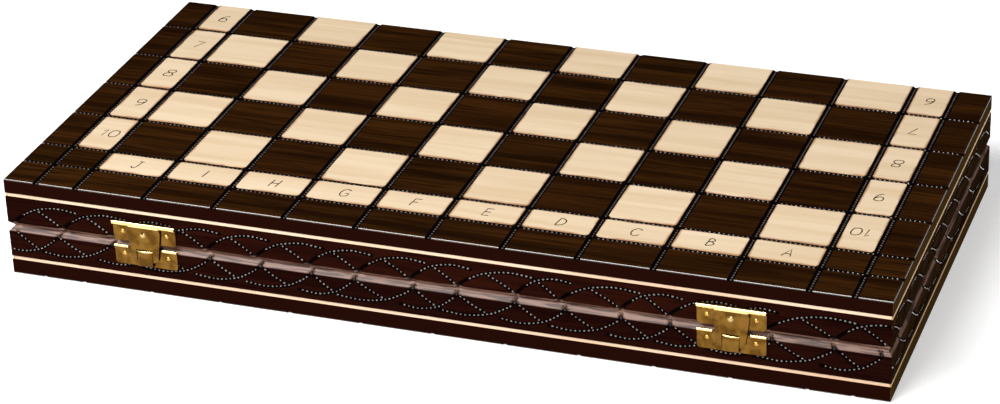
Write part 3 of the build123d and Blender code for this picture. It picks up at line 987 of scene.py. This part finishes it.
def draw_word(curve, word, x, y, z, upright, above):
    """Add a word's strokes to a curve, centred on a cell.

    It stands upright or turned by half, and reads from above or from below.
    """
    turn = 1 if upright else -1
    reading = turn if above else -turn
    start = -LETTER_PACE * len(word) / 2 + 0.08 * LETTER_HEIGHT
    for i, sign in enumerate(word):
        for kind, *points in STROKES[sign]:
            spline = curve.splines.new("POLY" if kind == "line" else "NURBS")
            spline.points.add(len(points) - 1)
            for point, (u, v) in zip(spline.points, points):
                local_x = start + LETTER_PACE * i + (u + LETTER_SLANT * v) * LETTER_HEIGHT
                local_y = (v - 0.5) * LETTER_HEIGHT
                point.co = (x + reading * local_x, y + turn * local_y, z, 1)
            if kind == "smooth":
                spline.order_u = 4
                spline.use_endpoint_u = True
                spline.resolution_u = 6


def coordinates(upper, material):
    """Letters along the front row and numbers in both outer columns."""
    half, body = tray(upper)
    curve = bpy.data.curves.new("strokes", "CURVE")
    curve.dimensions = "3D"
    curve.bevel_depth = STROKE_RADIUS
    curve.bevel_resolution = 1
    face = TOP_Z if upper else 0.0
    z = face - STROKE_SINK if upper else face + STROKE_SINK
    letter_y = FRONT_Y + FRONT_BORDER + LETTER_ROW / 2
    for i, letter in enumerate("JIHGFEDCBA"):
        draw_word(curve, letter, SQUARE * (i - 4.5), letter_y, z, True, upper)
    for row in range(WHOLE_ROWS + 1):
        low = FIRST_ROW_Y + SQUARE * row
        y = (low + min(low + SQUARE, BACK_Y)) / 2
        number = str(10 - row) if upper else str(row + 1)
        for side in (-1, 1):
            x = side * (HALF_FIELD + NUMBER_COLUMN / 2)
            draw_word(curve, number, x, y, z, (side < 0) == upper, upper)
    drawing = bpy.data.objects.new("strokes", curve)
    bpy.context.collection.objects.link(drawing)
    bpy.context.view_layer.update()
    evaluated = drawing.evaluated_get(bpy.context.evaluated_depsgraph_get())
    data = bpy.data.meshes.new_from_object(evaluated)
    bpy.data.objects.remove(drawing)
    mesh = bmesh.new()
    mesh.from_mesh(data)
    bpy.data.meshes.remove(data)
    # Ink lies on the wood as a film, so the tubes are flattened to the face
    for vert in mesh.verts:
        if upper:
            vert.co.z = min(vert.co.z, face + INK_FILM)
        else:
            vert.co.z = max(vert.co.z, face - INK_FILM)
    new_piece(f"{half}_coordinates", mesh, material, body, "board_wood")


# The whole scene
aim_camera()
build_studio()

front_wood = stained_wood("stained_wood_front", "x")
end_wood = stained_wood("stained_wood_end", "y", dark=(34, 22, 12), warm=(50, 34, 18))
lacquer = lacquer_with_painted_glints()
board_finish = board_wood()
strip_finish = light_wood("light_strip_wood", "x")
brass_finish = brass()
nail_finish = nail_brass()
drawn = pencil()
men_finish = {
    "light_men": light_wood("light_men_wood", "x"),
    "dark_men": stained_wood("dark_men_wood", "x", dark=(58, 24, 11), warm=(92, 44, 20)),
}

front_length = 2 * SIDE_X
end_length = BACK_Y - FRONT_Y
for upper in (True, False):
    front_waves = UPPER_WAVES if upper else LOWER_WAVES
    for side, waves, length, finish in (("front", front_waves, front_length, front_wood),
                                        ("right", END_WAVES, end_length, end_wood),
                                        ("left", END_WAVES, end_length, end_wood)):
        lines = carved_wall(side, upper, waves, length, finish)
        wall_dots(side, upper, lines, length, lacquer)
    board_dots(upper, lacquer)
    let_in_strips(upper, strip_finish)
    coordinates(upper, drawn)

for name in ("left", "right"):
    pressed_hasp(name, brass_finish)
    bent_plate(name, brass_finish)


def finish_for(node):
    """The finish of a piece carried over from the frame."""
    if node.endswith("_panel"):
        return board_finish
    if node.endswith("_wall"):
        return front_wood if "front" in node or "back" in node else end_wood
    if node.endswith("_strips"):
        return strip_finish
    if node.endswith(("_nails", "_screws")):
        return nail_finish
    return men_finish.get(node, brass_finish)


for node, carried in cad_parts.items():
    carried.data.materials.clear()
    carried.data.materials.append(finish_for(node))
